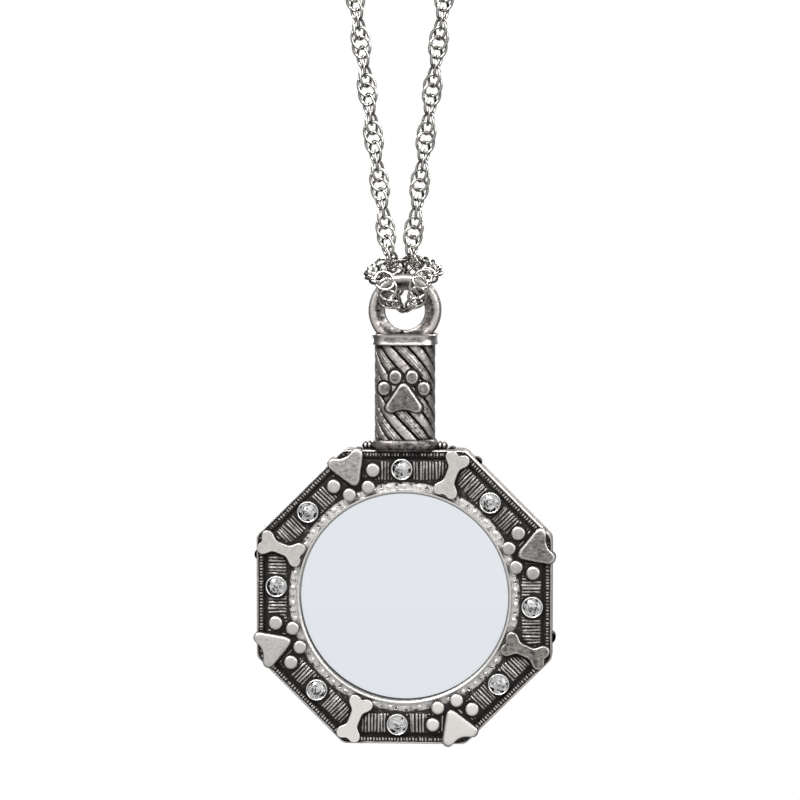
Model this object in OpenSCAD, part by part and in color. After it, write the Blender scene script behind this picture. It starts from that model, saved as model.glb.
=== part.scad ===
// A magnifier pendant on its chain. The origin is the top of the chain loop, where it hangs on a
// neck. The front faces -Y, +Z is up and +X is to the right as seen from the front.

/* [Necklace] */
// Length of the whole loop along the chain, with the clasp
necklace_length = 762; // [600:1:900]
// Lean of each strand from the vertical, in degrees
strand_lean = 7.5; // [5:0.5:10]
// Width of the chain as a round tube
chain_d = 2.1; // [1.6:0.1:2.2]

/* [Clasp] */
// Length of the clasp from end to end
clasp_length = 12; // [9:0.5:16]
// Width of the clasp at its widest
clasp_w = 5; // [4.4:0.1:7]
// Thickness of the clasp
clasp_t = 2; // [1.4:0.1:2.2]
// Diameter of the eye at each end of the clasp
clasp_eye_d = 1.8; // [1.6:0.05:2]
// Outside diameter of each end ring
end_ring_d = 5; // [4.6:0.1:6.5]
// Wall round each eye
clasp_eye_wall = 0.6; // [0.5:0.05:0.8]
// Wire of each end ring
end_ring_wire = 0.9; // [0.6:0.05:1]
// How far the end rings sit in past the middles of the eyes, as they bow inwards there
eye_bow = 0.12; // [0.08:0.01:0.16]

/* [Bail ring] */
// Outside diameter of the ring that the chain passes through
ring_d = 10.9; // [10.4:0.1:11.3]
// Diameter of its hole
ring_hole_d = 6; // [5.8:0.1:6.6]
// Depth of the ring at its raised edge, front to back
ring_depth = 2.8; // [2.2:0.1:3]
// Depth of the ring at its hole
ring_hole_depth = 1.4; // [1:0.1:1.8]
// Width of the raised edge
ring_edge_w = 0.95; // [0.6:0.05:1.3]
// Width and depth of the bevels on the raised edge
ring_bevel = 0.2; // [0.1:0.05:0.3]
// Step from the raised edge down to the dished face
ring_dish_step = 0.35; // [0.1:0.05:0.5]
// How far the ring is sunk into the collar below it
ring_sink = 1.95; // [1.5:0.05:2.4]

/* [Handle] */
// Width of the twisted barrel
barrel_w = 9; // [7.5:0.1:11]
// Depth of the twisted barrel
barrel_depth = 6.4; // [5.4:0.1:8]
// Length of the twisted barrel between its collars
barrel_length = 14.2; // [12:0.1:22]
// Number of twisted strands
barrel_strands = 12; // [8:1:16]
// Depth of the grooves between the strands
barrel_groove = 0.4; // [0.1:0.05:0.6]
// Turn of the strands over the barrel's length, in degrees
barrel_twist = 175; // [60:5:240]
// How far the collars stand proud of the barrel
collar_proud = 0.42; // [0.1:0.02:0.9]
// Height of the upper collar
top_collar_h = 1.6; // [1:0.1:2.6]
// Height of the lower collar
low_collar_h = 1.8; // [1:0.1:2.6]
// Width of the paw on the handle
handle_paw_w = 5.3; // [4:0.1:6]
// Height of that paw above the barrel
handle_paw_rise = 0.4; // [0.2:0.05:0.6]
// Diameter of the small knobs beside the lower collar
knob_d = 1.25; // [0.8:0.05:1.6]
// How far each knob reaches out of the collar
knob_length = 1.6; // [0.8:0.1:2.2]
// Thickness of each ridge of a knob
knob_ridge_t = 0.3; // [0.2:0.05:0.4]
// Spacing of those ridges
knob_ridge_pitch = 0.5; // [0.4:0.05:0.6]
// How far the knobs are sunk into the frame's top edge
knob_sink = 0.18; // [0.1:0.02:0.3]
// How far the lower collar is sunk into the frame
collar_sink = 0.25; // [0.1:0.05:0.5]
// How far the barrel's ends are sunk into the collars
barrel_sink = 0.5; // [0.2:0.1:0.8]

/* [Frame] */
// Width of the octagon across its flats
frame_w = 44.4; // [43:0.1:50]
// Half the thickness of the frame at its band of panels
band_level = 2.1; // [1.8:0.05:2.4]
// Width of the edge with the fine beading
rim_w = 1.05; // [0.6:0.05:1.4]
// Height of that edge above the band
rim_rise = 0.2; // [0.05:0.05:0.5]
// Width of the groove inside the edge
groove_w = 0.45; // [0.2:0.05:0.7]
// Depth of the groove below the band
groove_depth = 0.35; // [0.1:0.05:0.6]
// Width of the smooth ring round the lens
lens_ring_w = 0.6; // [0.4:0.05:0.8]
// Height of the smooth ring above the band
lens_ring_rise = 0.35; // [0.1:0.05:0.6]
// Number of beads round the lens
bead_count = 46; // [36:1:52]
// Diameter of each bead
bead_d = 0.84; // [0.6:0.02:1]
// Gap between the beads and the rings on both sides of them
bead_gap = 0.22; // [0.1:0.02:0.4]
// Depth of the beads' channel below the band
bead_channel_depth = 0.15; // [0.05:0.05:0.4]
// Height of the beads' middles above their channel
bead_lift = 0.05; // [0.02:0.01:0.1]

/* [Lens] */
// Diameter of the lens
lens_d = 31.8; // [28:0.1:32.4]
// Thickness of the lens at its edge
lens_edge_t = 1.6; // [1.2:0.1:2.4]
// Rise of each face of the lens in the middle
lens_dome = 1.2; // [0.6:0.1:1.8]
// How far the frame's lips reach over the lens
lens_lip = 0.3; // [0.15:0.05:0.5]

/* [Stones] */
// Diameter of each stone
stone_d = 2.7; // [2.2:0.05:3]
// Height of the stone above its setting's edge
stone_rise = 0.2; // [0.1:0.05:0.4]
// Width of the stone's table, as a share of its diameter
table_share = 0.56; // [0.4:0.02:0.7]
// Wall of each setting
setting_wall = 0.2; // [0.15:0.05:0.4]
// Height of each setting above the band
setting_rise = 0.65; // [0.4:0.05:0.9]
// Depth of the stone's girdle below its setting's edge
girdle_drop = 0.3; // [0.2:0.05:0.4]
// Thickness of that girdle
girdle_t = 0.12; // [0.05:0.01:0.2]
// Distance of the stones from the middle of the frame
stone_circle_r = 19.3; // [19:0.1:19.6]

/* [Raised figures] */
// Width of each paw on the frame
paw_w = 5.86; // [4.8:0.02:6.2]
// Distance of a paw's broad end from the middle of the frame
paw_r = 22.65; // [21.8:0.05:23]
// Length of each bone
bone_length = 7.1; // [6:0.1:7.6]
// Width of each bone over its knobs
bone_w = 3.9; // [3.2:0.1:4.4]
// Distance of a bone's middle from the middle of the frame
bone_r = 19.85; // [19.4:0.05:20.2]
// Height of the paws and bones above the band
figure_rise = 0.85; // [0.4:0.05:1.1]
// How much lower the toes stand than the pads
toe_step = 0.15; // [0:0.05:0.3]

/* [Fits] */
// Gap round the lens and round each stone
seat_gap = 0.05; // [0.03:0.01:0.1]
// Gap between the end of the chain and its end ring
chain_end_gap = 0.3; // [0.2:0.05:0.6]

/* [Hidden] */
$fn = 64;

// The chain's way round the bail ring, a lark's head: from the foot of a strand down behind the
// ring's bar, forward through the hole, up in front of it, out round its shoulder and behind the
// strands to the middle. Columns are across, back and up from the ring's middle, left side first.
HITCH_LEFT = [
  [-2.5, 0, 8.9], [-2.3, 0.3, 8], [-1.9, 1, 7], [-1.5, 2.1, 6], [-1.3, 3, 4.9], [-1.25, 3.2, 3.7],
  [-1.25, 2.9, 2.5], [-1.25, 1.8, 1.3], [-1.3, 0, 0.75], [-1.65, -1.75, 0.7], [-2.3, -3.1, 1.35],
  [-2.5, -3.7, 2.4], [-2.3, -3.8, 3.5], [-2.6, -3.6, 4.5], [-3.5, -3.05, 5.05], [-4.5, -1.7, 5.15],
  [-4.9, 0, 5.3], [-4.5, 1.7, 5.7], [-3.4, 3.2, 6.4], [-1.9, 4.3, 7], [-0.6, 4.6, 7.1]
];
HITCH_RIGHT = [
  [0.9, 0, 8.9], [1.1, 0.3, 8], [1.3, 1.1, 7], [1.35, 2.2, 6], [1.25, 3, 4.9], [1.25, 3.2, 3.7],
  [1.25, 2.9, 2.5], [1.25, 1.8, 1.3], [1.3, 0, 0.75], [1.6, -1.8, 0.8], [2, -3.1, 1.5],
  [2.1, -3.7, 2.6], [2.2, -3.8, 3.7], [2.6, -3.6, 4.8], [3.4, -2.8, 5.3], [4.2, -1.5, 5.5],
  [4.4, 0, 5.6], [3.9, 1.8, 6], [2.8, 3.3, 6.5], [1.5, 4.3, 7], [0.6, 4.6, 7.1]
];
// Number of rings of the tube along each strand and along each half of the top arc
STRAND_RINGS = 14;
ARC_RINGS = 9;
CHAIN_SIDES = 8;

// Points across each twisted strand and rows up the barrel
BARREL_POINTS = 4;
BARREL_ROWS = 14;

// Angles round the frame, anticlockwise from the right
STONE_ANGLES = [91, 48, -4, -42.5, -93, 227, 175.5, 138.5];
PAW_ANGLES = [113, 20.5, -68, 201];
BONE_ANGLES = [69, -23.5, 248, 158.5];

function path_length(points) = len(points) < 2 ? 0
  : norm(points[1] - points[0]) + path_length([for (i = [1:len(points) - 1]) points[i]]);

// The loop: straight strands that lean by strand_lean run into an arc over the top
hitch_length = path_length(HITCH_LEFT);
foot_half_gap = (HITCH_RIGHT[0][0] - HITCH_LEFT[0][0]) / 2;
half_run = necklace_length / 2 - hitch_length;
arc_turn = 90 + strand_lean;
arc_turn_length = arc_turn * PI / 180;
loop_r = (foot_half_gap + half_run * sin(strand_lean))
  / (cos(strand_lean) + arc_turn_length * sin(strand_lean));
strand_length = half_run - loop_r * arc_turn_length;
foot_drop = loop_r * (1 + sin(strand_lean)) + strand_length * cos(strand_lean);
ring_drop = foot_drop + HITCH_LEFT[0][2];
// The pendant hangs a little to the right of the loop's middle line
pendant_x = -(HITCH_RIGHT[0][0] + HITCH_LEFT[0][0]) / 2;

// Clasp and end rings
eye_x = clasp_length / 2 - clasp_eye_d / 2 - clasp_eye_wall;
eye_z = sqrt(loop_r * loop_r - eye_x * eye_x) - loop_r;
end_ring_r = (end_ring_d - end_ring_wire) / 2;
end_ring_place = eye_x + end_ring_r - eye_bow;
end_ring_turn = end_ring_place / loop_r * 180 / PI;
chain_end_turn = (end_ring_place + end_ring_d / 2 + chain_end_gap) / loop_r * 180 / PI;

// Heights down the pendant, from the middle of the bail ring
collar_top_z = ring_sink - ring_d / 2;
barrel_top_z = collar_top_z - top_collar_h;
barrel_low_z = barrel_top_z - barrel_length;
collar_low_z = barrel_low_z - low_collar_h;
apothem = frame_w / 2;
frame_z = collar_low_z + collar_sink - apothem;
knob_z = collar_low_z + collar_sink + knob_d / 2 - knob_sink;
handle_paw_z = barrel_top_z - barrel_length * 0.66;

// Radii and levels of the frame
lens_r = lens_d / 2;
lens_hole_r = lens_r - lens_lip;
lens_ring_r = lens_hole_r + lens_ring_w;
bead_r = bead_d / 2;
bead_circle_r = lens_ring_r + bead_r + bead_gap;
band_inner_r = bead_circle_r + bead_r + bead_gap;
bead_floor = band_level - bead_channel_depth;
rim_level = band_level + rim_rise;
setting_level = band_level + setting_rise;
figure_level = band_level + figure_rise;
stone_r = stone_d / 2;
stone_top = setting_level + stone_rise;
girdle_level = setting_level - girdle_drop;
stone_foot = girdle_level - stone_r * 0.75;
// The seats are cut clear of all that stands over them, the lower collar too
seat_top = max(stone_top, barrel_depth / 2 + collar_proud) + figure_rise;
setting_r = stone_r + seat_gap + setting_wall;

// Draws children in the plane of the frame and raises them from one level to another, to the front
module raised(low, high) {
  rotate([90, 0, 0]) translate([0, 0, low]) linear_extrude(high - low) children();
}

// The two faces are the same, back to back
module both_faces() {
  children();
  rotate([0, 0, 180]) children();
}

module place_pendant() {
  translate([pendant_x, 0, -ring_drop]) children();
}

module place_frame() {
  place_pendant() translate([0, 0, frame_z]) children();
}

// Puts children at an angle and a distance from the middle of the frame, with their top outwards
module around(angle, r) {
  rotate(angle - 90) translate([0, r]) children();
}

module octagon(flat_r) {
  rotate(22.5) circle(r = flat_r / cos(22.5), $fn = 8);
}

// Paw: its broad end is at y = 0 and its toes point down. Sizes are shares of its width.
LOBE_X = 0.345;
LOBE_R = 0.15;
TIP_Y = 0.62;
TIP_R = 0.13;
// The broad end is hollowed by a circle that dips this far from the lobes' line
HOLLOW_Y = 0.04;
HOLLOW_R = 0.45;
function arc(x, y, r, from, to) =
  [for (i = [0:8]) [x + r * cos(from + (to - from) * i / 8), y + r * sin(from + (to - from) * i / 8)]];
function pad_outline(w) =
  let (side = atan2(TIP_Y, LOBE_X) - acos((TIP_R - LOBE_R) / norm([LOBE_X, TIP_Y])))
  w * concat(arc(LOBE_X, 0, LOBE_R, side, 90), arc(-LOBE_X, 0, LOBE_R, 90, 180 - side),
    arc(0, -TIP_Y, TIP_R, 180 - side, 360 + side));

module pad_shape(w) {
  difference() {
    polygon(pad_outline(w));
    translate([0, (HOLLOW_Y + HOLLOW_R) * w]) circle(HOLLOW_R * w, $fn = 48);
  }
}

module outer_toes(w) {
  for (side = [-1, 1]) translate([side * 0.545 * w, -0.54 * w]) circle(0.18 * w, $fn = 28);
}

module inner_toes(w) {
  for (side = [-1, 1]) translate([side * 0.26 * w, -0.9 * w]) circle(0.175 * w, $fn = 28);
}

module bone_shape() {
  knob_r = bone_w * 0.243;
  knob_x = bone_w / 2 - knob_r;
  knob_y = bone_length / 2 - knob_r;
  shaft_w = bone_w * 0.43;
  translate([-shaft_w / 2, -knob_y]) square([shaft_w, 2 * knob_y]);
  for (sx = [-1, 1], sy = [-1, 1]) translate([sx * knob_x, sy * knob_y]) circle(knob_r, $fn = 28);
}

module frame_face() {
  // Edge with the fine beading
  raised(0, rim_level) difference() {
    octagon(apothem);
    octagon(apothem - rim_w);
  }
  // Band of hatched panels
  raised(0, band_level) difference() {
    octagon(apothem - rim_w - groove_w);
    circle(band_inner_r);
  }
  // Floor of the groove and of the beaded ring
  raised(0, band_level - groove_depth) difference() {
    octagon(apothem - rim_w / 2);
    circle(lens_ring_r - lens_ring_w / 2);
  }
  raised(0, bead_floor) difference() {
    circle(band_inner_r + bead_gap / 2);
    circle(lens_ring_r - lens_ring_w / 2);
  }
  // Beads round the lens
  for (i = [0:bead_count - 1]) rotate([0, i * 360 / bead_count, 0])
    translate([bead_circle_r, -bead_floor - bead_lift, 0]) rotate([90, 0, 0]) sphere(bead_r, $fn = 16);
  // Smooth ring round the lens, sloping down to the glass
  rotate([90, 0, 0]) rotate_extrude($fn = 128) polygon([
    [lens_hole_r, 0], [lens_ring_r, 0], [lens_ring_r, band_level + lens_ring_rise],
    [lens_ring_r - lens_ring_w / 2, band_level + lens_ring_rise],
    [lens_hole_r, band_level - lens_ring_rise / 3]
  ]);
  // Settings, paws and bones
  for (angle = STONE_ANGLES) raised(0, setting_level) around(angle, stone_circle_r) circle(setting_r);
  for (angle = PAW_ANGLES) {
    raised(0, figure_level) around(angle, paw_r) pad_shape(paw_w);
    raised(0, figure_level - toe_step) around(angle, paw_r) {
      outer_toes(paw_w);
      inner_toes(paw_w);
    }
  }
  for (angle = BONE_ANGLES) raised(0, figure_level) around(angle, bone_r) bone_shape();
}

// Point of the twisted barrel: turn is in degrees round it, and z runs up from its foot
function barrel_point(turn, z) =
  let (angle = turn - barrel_twist * z / barrel_length)
  let (dip = barrel_groove * pow(abs(cos(turn * barrel_strands / 2)), 3))
  [(barrel_w / 2 - dip) * cos(angle), (barrel_depth / 2 - dip) * sin(angle), barrel_low_z + z];

// Its ends are sunk into the collars
module barrel() {
  sides = barrel_strands * BARREL_POINTS;
  rows = BARREL_ROWS;
  run = barrel_length + 2 * barrel_sink;
  points = [for (row = [0:rows - 1], i = [0:sides - 1])
    barrel_point(i * 360 / sides, run * row / (rows - 1) - barrel_sink)];
  walls = [for (row = [0:rows - 2], i = [0:sides - 1])
    let (a = row * sides + i)
    let (b = row * sides + (i + 1) % sides)
    each [[a, b + sides, b], [a, a + sides, b + sides]]];
  foot = [for (i = [0:sides - 1]) i];
  top = [for (i = [0:sides - 1]) rows * sides - 1 - i];
  polyhedron(points, concat(walls, [foot, top]), convexity = 8);
}

// An oval block, from the barrel's own oval and proud of it
module oval(proud, h) {
  straight = (barrel_w - barrel_depth) / 2;
  r = barrel_depth / 2 + proud;
  translate([-straight, 0, 0]) cylinder(r = r, h = h);
  translate([straight, 0, 0]) cylinder(r = r, h = h);
  translate([-straight, -r, 0]) cube([2 * straight, 2 * r, h]);
}

// How far the barrel's face lies from its middle plane, at a distance x from its middle line
function barrel_face(x) = barrel_depth / 2 * sqrt(max(0, 1 - pow(2 * x / barrel_w, 2)));

module handle_face() {
  translate([0, 0, handle_paw_z]) {
    raised(0, barrel_face(0) + handle_paw_rise) rotate(180) pad_shape(handle_paw_w);
    raised(0, barrel_face(0.26 * handle_paw_w) + handle_paw_rise) rotate(180) inner_toes(handle_paw_w);
    raised(0, barrel_face(0.6 * handle_paw_w) + handle_paw_rise) rotate(180) outer_toes(handle_paw_w);
  }
}

module knobs() {
  reach = barrel_w / 2 + collar_proud + knob_length;
  translate([-reach, 0, knob_z]) rotate([0, 90, 0]) cylinder(d = knob_d * 0.8, h = 2 * reach);
  for (side = [-1, 1], i = [0:2])
    translate([side * (reach - (i + 0.4) * knob_ridge_pitch), 0, knob_z]) rotate([0, 90, 0])
      cylinder(d = knob_d, h = knob_ridge_t, center = true);
}

module bail_ring() {
  hole_r = ring_hole_d / 2;
  outer_r = ring_d / 2;
  flat_r = outer_r - ring_edge_w;
  half = ring_depth / 2;
  hole_half = ring_hole_depth / 2;
  rotate([90, 0, 0]) rotate_extrude($fn = 96) polygon([
    [hole_r, -hole_half], [flat_r - ring_bevel, ring_dish_step - half], [flat_r, -half],
    [outer_r - ring_bevel, -half], [outer_r, ring_bevel - half], [outer_r, half - ring_bevel],
    [outer_r - ring_bevel, half], [flat_r, half], [flat_r - ring_bevel, half - ring_dish_step],
    [hole_r, hole_half]
  ]);
}

module handle() {
  barrel();
  translate([0, 0, barrel_top_z]) oval(collar_proud, top_collar_h);
  translate([0, 0, collar_low_z]) oval(collar_proud, low_collar_h);
  both_faces() handle_face();
  knobs();
}

module lens_seat() {
  rotate([90, 0, 0]) cylinder(r = lens_r + seat_gap, h = lens_edge_t + 2 * seat_gap, center = true, $fn = 128);
}

module stone_seats() {
  for (angle = STONE_ANGLES) raised(stone_foot - seat_gap, seat_top)
    around(angle, stone_circle_r) circle(stone_r + seat_gap);
}

module casting() {
  color("#8d8b87") difference() {
    union() {
      place_pendant() {
        bail_ring();
        handle();
      }
      place_frame() both_faces() frame_face();
    }
    place_frame() {
      lens_seat();
      both_faces() stone_seats();
    }
  }
}

module lens() {
  lens_ball_r = (lens_r * lens_r + lens_dome * lens_dome) / (2 * lens_dome);
  lens_ball_y = lens_ball_r - lens_dome - lens_edge_t / 2;
  color("#dfe5ec", 0.5) place_frame() intersection() {
    rotate([90, 0, 0]) cylinder(r = lens_r, h = lens_edge_t + 2 * lens_dome + 1, center = true, $fn = 128);
    translate([0, lens_ball_y, 0]) sphere(lens_ball_r, $fn = 400);
    translate([0, -lens_ball_y, 0]) sphere(lens_ball_r, $fn = 400);
  }
}

// Round stone with an eight-sided table, crown facets, a girdle and a point below
function stone_ring(count, r, level, start) =
  [for (i = [0:count - 1]) [r * cos(start + i * 360 / count), r * sin(start + i * 360 / count), level]];

module stone_solid() {
  points = concat(
    stone_ring(8, stone_r * table_share, stone_top, 22.5),
    stone_ring(16, stone_r, girdle_level + girdle_t, 0),
    stone_ring(16, stone_r, girdle_level, 0),
    [[0, 0, stone_foot]]);
  table = [for (i = [0:7]) 7 - i];
  crown = [for (i = [0:7])
    let (near = 8 + 2 * i)
    let (mid = near + 1)
    let (far = 8 + (2 * i + 2) % 16)
    each [[i, mid, near], [i, far, mid], [i, (i + 1) % 8, far]]];
  belt = [for (i = [0:15])
    let (j = (i + 1) % 16)
    each [[8 + i, 24 + j, 24 + i], [8 + i, 8 + j, 24 + j]]];
  below = [for (i = [0:15]) [24 + i, 24 + (i + 1) % 16, 40]];
  polyhedron(points, concat([table], crown, belt, below));
}

module stone(face_turn, angle) {
  color("#e8edf2") place_frame() rotate([0, 0, face_turn]) rotate([90, 0, 0])
    rotate(angle - 90) translate([0, stone_circle_r, 0]) stone_solid();
}

module clasp() {
  color("#c9cbcc") rotate([90, 0, 0]) linear_extrude(clasp_t, center = true) difference() {
    hull() {
      circle(clasp_w / 2);
      for (side = [-1, 1]) translate([side * eye_x, eye_z]) circle(clasp_eye_d / 2 + clasp_eye_wall);
    }
    for (side = [-1, 1]) translate([side * eye_x, eye_z]) circle(d = clasp_eye_d);
    hull() for (side = [-1, 1]) translate([side * clasp_w * 0.22, 0]) circle(clasp_w * 0.15);
  }
}

module end_ring(side) {
  color("#c9cbcc") translate([0, 0, -loop_r]) rotate([0, side * end_ring_turn, 0])
    translate([0, 0, loop_r]) rotate_extrude() translate([end_ring_r, 0]) circle(d = end_ring_wire, $fn = 24);
}

// The way of the chain, from its left end over the arc, down the strand, round the ring and back up
function arc_point(side, turn) = [side * loop_r * sin(turn), 0, loop_r * (cos(turn) - 1)];
function half_way(side, hitch) = concat(
  [for (i = [0:ARC_RINGS - 1])
    arc_point(side, chain_end_turn + (arc_turn - chain_end_turn) * i / ARC_RINGS)],
  [for (i = [0:STRAND_RINGS - 1])
    arc_point(side, arc_turn)
      + strand_length * i / STRAND_RINGS * [-side * sin(strand_lean), 0, -cos(strand_lean)]],
  [for (p = hitch) p + [pendant_x, 0, -ring_drop]]);
function reversed(list) = [for (i = [len(list) - 1:-1:0]) list[i]];

chain_way = concat(half_way(-1, HITCH_LEFT), reversed(half_way(1, HITCH_RIGHT)));

function unit(v) = v / norm(v);
function way_direction(way, i) = unit(way[min(i + 1, len(way) - 1)] - way[max(i - 1, 0)]);
// Side vectors are carried along the way, so that the tube does not twist
function carried(side, direction) = unit(side - (side * direction) * direction);
function side_vectors(way, i = 0, side = [0, 1, 0], done = []) =
  i == len(way) ? done
  : let (next = carried(side, way_direction(way, i)))
    side_vectors(way, i + 1, next, concat(done, [next]));

module tube(way, d, sides) {
  count = len(way);
  across = side_vectors(way);
  points = [for (i = [0:count - 1])
    let (direction = way_direction(way, i))
    let (up = cross(direction, across[i]))
    for (k = [0:sides - 1])
      way[i] + d / 2 * (cos(k * 360 / sides) * across[i] + sin(k * 360 / sides) * up)];
  walls = [for (i = [0:count - 2], k = [0:sides - 1])
    let (a = i * sides + k)
    let (b = i * sides + (k + 1) % sides)
    each [[a, b, b + sides], [a, b + sides, a + sides]]];
  start_cap = [for (k = [0:sides - 1]) sides - 1 - k];
  end_cap = [for (k = [0:sides - 1]) (count - 1) * sides + k];
  polyhedron(points, concat(walls, [start_cap, end_cap]), convexity = 10);
}

module chain() {
  color("#c4c6c8") tube(chain_way, chain_d, CHAIN_SIDES);
}

casting();
lens();
for (i = [0:7]) {
  stone(0, STONE_ANGLES[i]);
  stone(180, STONE_ANGLES[i]);
}
chain();
end_ring(-1);  // end_ring_left
end_ring(1);  // end_ring_right
clasp();
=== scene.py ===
# %% [markdown]
# # A magnifier pendant on its rope chain
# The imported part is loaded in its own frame, in metres: +Z is up, the front faces -Y, and the
# origin is the top of the chain's loop. The casting, the stones, the lens and the chain's tube are
# replaced here by pieces with their real detail. The end rings and the clasp stay as they are.
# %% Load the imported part
import math

import bmesh
import bpy
import numpy as np
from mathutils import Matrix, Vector


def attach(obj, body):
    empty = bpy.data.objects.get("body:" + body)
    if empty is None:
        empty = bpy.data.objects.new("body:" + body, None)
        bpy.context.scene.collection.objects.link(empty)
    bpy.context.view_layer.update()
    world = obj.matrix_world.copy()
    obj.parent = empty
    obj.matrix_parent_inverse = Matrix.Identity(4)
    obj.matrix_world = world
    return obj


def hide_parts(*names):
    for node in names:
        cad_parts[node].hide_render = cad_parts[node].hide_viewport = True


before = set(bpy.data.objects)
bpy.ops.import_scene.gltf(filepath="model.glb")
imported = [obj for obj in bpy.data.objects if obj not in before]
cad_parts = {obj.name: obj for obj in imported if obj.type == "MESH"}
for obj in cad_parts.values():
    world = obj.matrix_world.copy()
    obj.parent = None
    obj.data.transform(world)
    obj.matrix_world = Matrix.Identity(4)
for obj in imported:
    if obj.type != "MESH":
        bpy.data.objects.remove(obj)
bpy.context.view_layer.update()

# %% [markdown]
# ## Sizes
# All sizes are in millimetres, and the main ones are those of the part's source. A shape is worked
# out in millimetres and turned into metres when its mesh is made. A TOP, BED or FLOOR is a level
# above the frame's middle plane. On the handle, heights count from the middle of the bail ring.
# %% Sizes in millimetres
MM = 0.001
RING_AT = np.array([0.8, 0.0, -335.364])
FRAME_AT = RING_AT + [0, 0, -43.05]

APOTHEM, CORNER_REACH = 22.2, 1.0772
RIM_TOP, RIM_BED, PANEL_TOP, FIGURE_TOP = 2.3, 2.12, 2.0, 2.95
GROOVE_OUT, GROOVE_IN, GROOVE_FLOOR = 21.0, 20.74, 1.75
PANEL_OUT, PANEL_STRAIGHT, PANEL_IN = 20.6, 18.3, 17.55
CHANNEL_R, CHANNEL_FLOOR, BEAD_R = 17.44, 1.84, 16.84
LENS_RING_OUT, LENS_HOLE, LENS_RING_TOP = 16.2, 15.6, 2.46
SEAT_R, SEAT_HALF = 15.97, 0.87
LENS_R, LENS_EDGE_HALF, LENS_DOME = 15.9, 0.8, 1.2

STONE_R, STONE_TOP, GIRDLE, STONE_FOOT = 1.35, 2.95, 2.45, 1.44
SETTING_R, SETTING_TOP, STONE_CIRCLE = 1.6, 2.75, 19.3
STONE_ANGLES = (91, 48, -4, -42.5, -93, 227, 175.5, 138.5)
PAW_ANGLES, PAW_W, PAW_R = (113, 20.5, -68, 201), 5.86, 22.65
BONE_ANGLES, BONE_W, BONE_LENGTH, BONE_R = (69, -23.5, 248, 158.5), 3.9, 7.1, 19.85

BARREL_W, BARREL_DEPTH, BARREL_TOP, BARREL_LOW = 9.0, 6.4, -5.1, -19.3
STRANDS, TWIST = 12, 175.0
COLLAR_TOP, COLLAR_LOW = -3.5, -21.1
COLLAR_HALF, COLLAR_END = np.array([4.92, 3.62]), 3.4
HANDLE_PAW_Z, HANDLE_PAW_W = -14.47, 5.3
KNOB_Z, KNOB_REACH = -20.4, 6.52
RING_R, RING_HOLE, RING_HALF, RING_HOLE_HALF = 5.45, 3.0, 1.4, 0.7

LOOP_LENGTH, LEAN, FOOT_HALF_GAP = 762.0, 7.5, 1.7
LINK_LONG, LINK_WIDE, LINK_WIRE, LINK_PITCH, LINK_TURN = 1.61, 1.33, 0.22, 1.422, 36.0
FIRST_LINK = 9.38
print("frame's middle at", FRAME_AT, "mm")

# %% [markdown]
# ## Camera
# A long lens from a little to the right and a little above, as in the photograph. The picture is
# square and takes in 120 mm of the object.
# %% Camera
TARGET = np.array([0.05, 0, -348.9]) * MM
AZIMUTH, ELEVATION, DISTANCE, VIEW_WIDTH = 3.5, 5.0, 0.7, 0.12


def direction(azimuth, elevation):
    """Unit vector from the object towards a viewer at these angles in degrees"""
    a, e = math.radians(azimuth), math.radians(elevation)
    return np.array([math.sin(a) * math.cos(e), -math.cos(a) * math.cos(e), math.sin(e)])


def aim(obj, target):
    """Point an object's -Z axis at a target"""
    look = Vector(target) - obj.location
    obj.rotation_euler = look.to_track_quat("-Z", "Y").to_euler()


camera = bpy.data.objects.new("camera", bpy.data.cameras.new("camera"))
bpy.context.scene.collection.objects.link(camera)
camera.location = TARGET + DISTANCE * direction(AZIMUTH, ELEVATION)
aim(camera, TARGET)
camera.data.lens = camera.data.sensor_width * DISTANCE / VIEW_WIDTH
bpy.context.scene.camera = camera
print("camera at", [round(v, 3) for v in camera.location])

# %% [markdown]
# ## Finishes
# One small function adds a node of any kind, so that a finish reads as a list of its nodes.
# %% Shader tools
def linear(value):
    """Linear colour from an sRGB hex string; any other value stays as it is"""
    if not isinstance(value, str):
        return value
    parts = [int(value[i:i + 2], 16) / 255 for i in (1, 3, 5)]
    return [v / 12.92 if v <= 0.04045 else ((v + 0.055) / 1.055) ** 2.4 for v in parts] + [1]


def add(tree, kind, settings=None, stops=None, **inputs):
    """Add a node of a kind such as Math. An input's name has _ for a space, or is _ and its number.
    It takes a value, a hex colour, a socket, or a node for that node's first output"""
    made = tree.nodes.new("ShaderNode" + kind)
    for key, value in (settings or {}).items():
        setattr(made, key, value)
    for key, value in inputs.items():
        socket = made.inputs[int(key[1:]) if key[1:].isdigit() else key.replace("_", " ")]
        if isinstance(value, bpy.types.Node):
            value = value.outputs[0]
        if isinstance(value, bpy.types.NodeSocket):
            tree.links.new(value, socket)
        else:
            socket.default_value = linear(value)
    if stops:
        elements = made.color_ramp.elements
        while len(elements) < len(stops):
            elements.new(0.5)
        for element, (place, colour) in zip(elements, stops):
            element.position = place
            element.color = linear(colour)
    return made


def new_material(name):
    made = bpy.data.materials.new(name)
    made.use_nodes = True
    made.node_tree.nodes.clear()
    return made, made.node_tree


# %% [markdown]
# Antiqued pewter, a tin alloy, is dipped until it is nearly black with sulphide and then rubbed
# back. It gives the eye a warm grey mirror with a soft blur, broken by the brush marks of the
# rubbing, with black lines wherever two forms meet. The wear could be painted as a picture, but
# here each mesh carries a value `worn`, 0 in a recess and 1 on a rubbed edge. The finish adds noise,
# brush marks and the crevices that it finds by itself. Past 1.25 it mixes the colour towards near
# white, a painted sheen for the places that the light falls on most.
# %% Antiqued pewter
BLOTCHES_PER_MM, CREVICE, MARK_DEPTH = 1.6, 0.9, 0.02
PAINTED_SHEEN_START, PAINTED_SHEEN_FULL = 1.25, 1.55


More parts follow.
